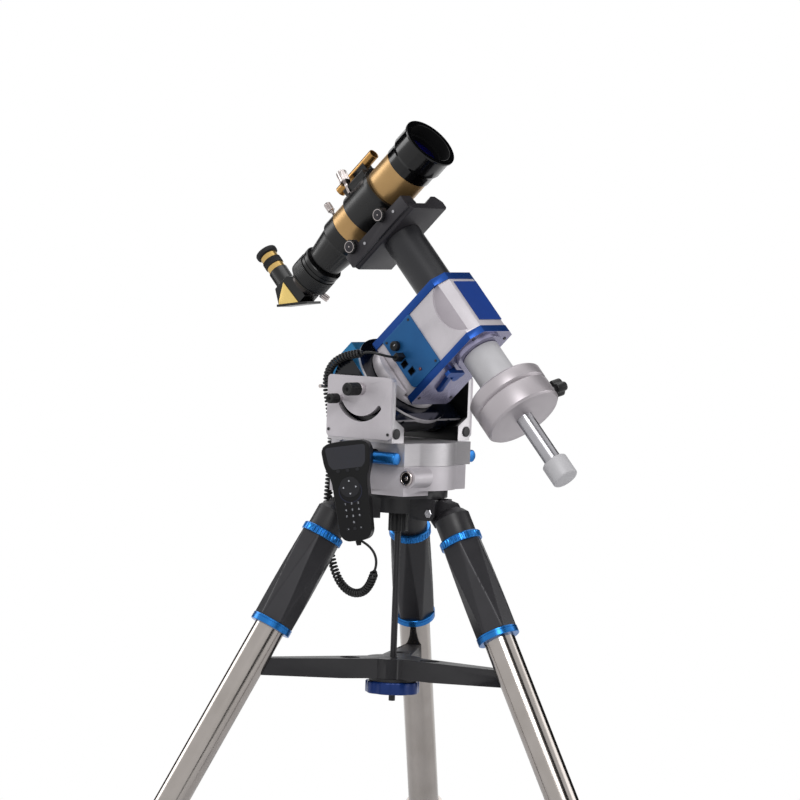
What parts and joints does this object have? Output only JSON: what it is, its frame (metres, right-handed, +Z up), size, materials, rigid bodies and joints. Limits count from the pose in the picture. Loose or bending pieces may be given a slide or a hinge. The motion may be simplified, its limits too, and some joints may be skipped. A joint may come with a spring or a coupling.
{
  "type": "small refractor telescope on an equatorial mount and tripod",
  "caption": "Short gold refractor on a blue and silver German equatorial mount with a counterweight, a folding tripod and a handset on a coiled cord.",
  "frame": {"origin": "on the floor below the centre of the tripod", "axes": "+Z up; the polar axis lies in the YZ plane and rises toward -Y; +X is the far side of the saddle from its clamp knobs"},
  "size_m": [0.8968, 0.8287, 1.3076],
  "materials": {
    "black_casting": "black semi-gloss paint over aluminium casting",
    "polished_steel": "polished bright steel tube",
    "black_grip": "fluted tube in satin black",
    "brushed_aluminium": "brushed and clear-coated",
    "silver_casting": "satin silver",
    "blue_anodised": "satin blue anodising",
    "turned_aluminium": "turned, satin",
    "bar_steel": "ground and polished",
    "black_plastic": "fine matte grain",
    "handset_plastic": "fine matte grain",
    "key_rubber": "satin",
    "charcoal_metal": "satin charcoal",
    "gold_tube": "satin champagne-gold anodising",
    "gloss_black": "gloss black enamel",
    "brass": "polished brass",
    "chrome_part": "bright nickel",
    "lens": "coated glass",
    "black_sleeve": "satin black",
    "cord_sheath": "satin black cable sheath"
  },
  "bodies": {
    "tripod_head": {"tripod_head": "black_casting", "lower_base": "silver_casting"},
    "leg_1": {"leg_1_frame": "polished_steel", "leg_1_grip": "black_grip"},
    "leg_1_lower": {"leg_1_slider": "polished_steel"},
    "leg_1_lock": {"leg_1_lock": "black_plastic"},
    "leg_2": {"leg_2_frame": "polished_steel", "leg_2_grip": "black_grip"},
    "leg_2_lower": {"leg_2_slider": "polished_steel"},
    "leg_2_lock": {"leg_2_lock": "black_plastic"},
    "leg_3": {"leg_3_frame": "polished_steel", "leg_3_grip": "black_grip"},
    "leg_3_lower": {"leg_3_slider": "polished_steel"},
    "leg_3_lock": {"leg_3_lock": "black_plastic"},
    "spreader": {"centre_rod": "black_casting", "spreader": "black_casting"},
    "spreader_knob": {"spreader_knob": "blue_anodised"},
    "head_nut": {"head_nut": "black_plastic"},
    "azimuth_knob": {"azimuth_knob": "chrome_part"},
    "fork": {"fork": "brushed_aluminium", "side_plates": "silver_casting", "carry_handles": "blue_anodised", "mount_screws": "black_plastic", "handset_case": "handset_plastic", "cord_coil": "cord_sheath", "cord_tail": "cord_sheath"},
    "handset_arrow_pad": {"handset_arrow_pad": "key_rubber"},
    "handset_keys": {"handset_keys": "key_rubber"},
    "latitude_knob": {"latitude_knob": "turned_aluminium"},
    "latitude_lock": {"latitude_lock": "black_plastic"},
    "polar_housing": {"ra_housing": "blue_anodised", "cord_lead": "cord_sheath"},
    "latitude_screw": {"latitude_screw": "chrome_part"},
    "polar_head": {"ra_drum": "silver_casting", "dec_casting": "silver_casting", "dec_flanges": "blue_anodised", "connector_panel": "blue_anodised", "cord_plug": "black_plastic"},
    "power_knob": {"power_knob": "black_plastic"},
    "dec_clutch_lever": {"dec_clutch_lever": "blue_anodised"},
    "declination_axis": {"dec_sleeve": "black_sleeve", "saddle": "charcoal_metal", "counterweight_bar": "bar_steel", "bar_end_cap": "turned_aluminium"},
    "saddle_jaw": {"saddle_jaw": "charcoal_metal"},
    "counterweight": {"counterweight": "turned_aluminium"},
    "weight_lock_knob": {"weight_lock_knob": "black_plastic"},
    "optical_tube": {"clamshell": "gloss_black", "main_tube": "gold_tube", "dew_cap": "gloss_black", "objective_lens": "lens", "rear_cell": "gloss_black", "finder_tube": "brass"},
    "ring_thumbscrew": {"ring_thumbscrew": "chrome_part"},
    "cell_thumbscrew": {"cell_thumbscrew": "chrome_part"},
    "focus_ring": {"focus_ring": "gloss_black"},
    "draw_tube": {"draw_tube": "chrome_part"},
    "draw_screw": {"draw_screw": "brass"},
    "diagonal": {"diagonal": "gold_tube"},
    "eyepiece": {"eyepiece": "gold_tube"}
  },
  "joints": [
    {"name": "leg_1_fold", "type": "hinge", "parent": "tripod_head", "child": "leg_1", "pos_m": [0, -0.079, 0.68], "axis": [1, 0, 0], "range_deg": [0, 6]},
    {"name": "leg_1_extend", "type": "slide", "parent": "leg_1", "child": "leg_1_lower", "axis": [0, -0.4909, -0.8712], "range_m": [0, 0.38]},
    {"name": "leg_1_lock_turn", "type": "hinge", "parent": "leg_1", "child": "leg_1_lock", "pos_m": [0, -0.41949, 0.12462], "axis": [0, -0.8712, 0.4909], "continuous": true},
    {"name": "leg_2_fold", "type": "hinge", "parent": "tripod_head", "child": "leg_2", "pos_m": [0.06842, 0.0395, 0.68], "axis": [-0.5, 0.866, 0], "range_deg": [0, 6]},
    {"name": "leg_2_extend", "type": "slide", "parent": "leg_2", "child": "leg_2_lower", "axis": [0.4251, 0.2455, -0.8712], "range_m": [0, 0.38]},
    {"name": "leg_2_lock_turn", "type": "hinge", "parent": "leg_2", "child": "leg_2_lock", "pos_m": [0.36329, 0.20974, 0.12462], "axis": [0.7545, 0.4356, 0.4909], "continuous": true},
    {"name": "leg_3_fold", "type": "hinge", "parent": "tripod_head", "child": "leg_3", "pos_m": [-0.06842, 0.0395, 0.68], "axis": [-0.5, -0.866, 0], "range_deg": [0, 6]},
    {"name": "leg_3_extend", "type": "slide", "parent": "leg_3", "child": "leg_3_lower", "axis": [-0.4251, 0.2455, -0.8712], "range_m": [0, 0.38]},
    {"name": "leg_3_lock_turn", "type": "hinge", "parent": "leg_3", "child": "leg_3_lock", "pos_m": [-0.36329, 0.20974, 0.12462], "axis": [-0.7545, 0.4356, 0.4909], "continuous": true},
    {"name": "spreader_lift", "type": "slide", "parent": "tripod_head", "child": "spreader", "axis": [0, 0, -1], "range_m": [0, 0.08487]},
    {"name": "spreader_knob_turn", "type": "hinge", "parent": "spreader", "child": "spreader_knob", "pos_m": [0, 0, 0.383], "axis": [0, 0, 1], "continuous": true},
    {"name": "head_nut_turn", "type": "hinge", "parent": "tripod_head", "child": "head_nut", "pos_m": [0, 0, 0.677], "axis": [0, 0, 1], "continuous": true},
    {"name": "azimuth", "type": "hinge", "parent": "tripod_head", "child": "fork", "pos_m": [0, 0, 0.7564], "axis": [0, 0, 1], "range_deg": [-8, 8]},
    {"name": "azimuth_knob_turn", "type": "hinge", "parent": "tripod_head", "child": "azimuth_knob", "pos_m": [-0.085, -0.084, 0.739], "axis": [1, 0, 0], "range_deg": [-360, 360]},
    {"name": "arrow_pad_press", "type": "slide", "parent": "fork", "child": "handset_arrow_pad", "axis": [0.8988, 0.4384, 0], "range_m": [0, 0.001], "stiffness_N_per_m": 300},
    {"name": "keys_press", "type": "slide", "parent": "fork", "child": "handset_keys", "axis": [0.8988, 0.4384, 0], "range_m": [0, 0.001], "stiffness_N_per_m": 300},
    {"name": "latitude_knob_turn", "type": "hinge", "parent": "fork", "child": "latitude_knob", "pos_m": [0, 0.002, 0.877], "axis": [1, 0, 0], "continuous": true},
    {"name": "latitude_lock_turn", "type": "hinge", "parent": "fork", "child": "latitude_lock", "pos_m": [-0.1, 0.044, 0.8595], "axis": [1, 0, 0], "continuous": true},
    {"name": "latitude", "type": "hinge", "parent": "fork", "child": "polar_housing", "pos_m": [0, 0.002, 0.877], "axis": [1, 0, 0], "range_deg": [-21.5, 23.5], "deforming": ["cord_coil", "cord_tail"]},
    {"name": "latitude_screw_turn", "type": "hinge", "parent": "polar_housing", "child": "latitude_screw", "pos_m": [-0.058, 0.10842, 0.88223], "axis": [0, -0.7254, 0.6884], "continuous": true},
    {"name": "right_ascension", "type": "hinge", "parent": "polar_housing", "child": "polar_head", "pos_m": [0, -0.10667, 0.9926], "axis": [0, -0.7254, 0.6884], "range_deg": [-95, 95], "deforming": ["cord_lead"]},
    {"name": "power_knob_turn", "type": "hinge", "parent": "polar_head", "child": "power_knob", "pos_m": [-0.044, -0.01986, 0.94607], "axis": [1, 0, 0], "range_deg": [-90, 90]},
    {"name": "dec_clutch", "type": "hinge", "parent": "polar_head", "child": "dec_clutch_lever", "pos_m": [-0.017, -0.1109, 0.91114], "axis": [0, 0.6884, 0.7254], "range_deg": [-8, 8]},
    {"name": "declination", "type": "hinge", "parent": "polar_head", "child": "declination_axis", "pos_m": [0, -0.10667, 0.9926], "axis": [0, 0.6884, 0.7254], "continuous": true},
    {"name": "saddle_clamp", "type": "slide", "parent": "declination_axis", "child": "saddle_jaw", "axis": [-1, 0, 0], "range_m": [0, 0.003]},
    {"name": "counterweight_slide", "type": "slide", "parent": "declination_axis", "child": "counterweight", "axis": [0, 0.6884, 0.7254], "range_m": [-0.087, 0.001]},
    {"name": "weight_lock_turn", "type": "hinge", "parent": "counterweight", "child": "weight_lock_knob", "pos_m": [0, -0.22644, 0.86638], "axis": [0.9135, -0.295, 0.28], "continuous": true},
    {"name": "tube_slide", "type": "slide", "parent": "declination_axis", "child": "optical_tube", "axis": [0, -0.7254, 0.6884], "range_m": [-0.02, 0.02]},
    {"name": "ring_thumbscrew_turn", "type": "hinge", "parent": "optical_tube", "child": "ring_thumbscrew", "pos_m": [-0.02243, 0.10754, 1.18636], "axis": [0.2924, 0.6583, 0.6937], "continuous": true},
    {"name": "cell_thumbscrew_turn", "type": "hinge", "parent": "optical_tube", "child": "cell_thumbscrew", "pos_m": [-0.005, 0.14961, 1.14644], "axis": [0, 0.6884, 0.7254], "continuous": true},
    {"name": "focus", "type": "hinge", "parent": "optical_tube", "child": "focus_ring", "pos_m": [0, 0.20755, 1.04044], "axis": [0, -0.7254, 0.6884], "range_deg": [0, 270]},
    {"name": "draw", "type": "slide", "parent": "optical_tube", "child": "draw_tube", "axis": [0, 0.7254, -0.6884], "range_m": [0, 0.012]},
    {"name": "draw_screw_turn", "type": "hinge", "parent": "draw_tube", "child": "draw_screw", "pos_m": [0, 0.21191, 1.03631], "axis": [0.6283, -0.5355, -0.5643], "continuous": true},
    {"name": "diagonal_turn", "type": "hinge", "parent": "draw_tube", "child": "diagonal", "pos_m": [0, 0.20248, 1.04526], "axis": [0, -0.7254, 0.6884], "range_deg": [-90, 90]},
    {"name": "eyepiece_slide", "type": "slide", "parent": "diagonal", "child": "eyepiece", "axis": [0, 0.6884, 0.7254], "range_m": [0, 0.02]}
  ],
  "couplings": [
    {"joint": "leg_2_fold", "follows": "leg_1_fold", "ratio": 1},
    {"joint": "leg_3_fold", "follows": "leg_1_fold", "ratio": 1},
    {"joint": "spreader_lift", "follows": "leg_1_fold", "m_per_rad": 0.81045},
    {"joint": "azimuth_knob_turn", "follows": "azimuth", "ratio": 45},
    {"joint": "draw", "follows": "focus", "m_per_rad": 0.0025465}
  ]
}
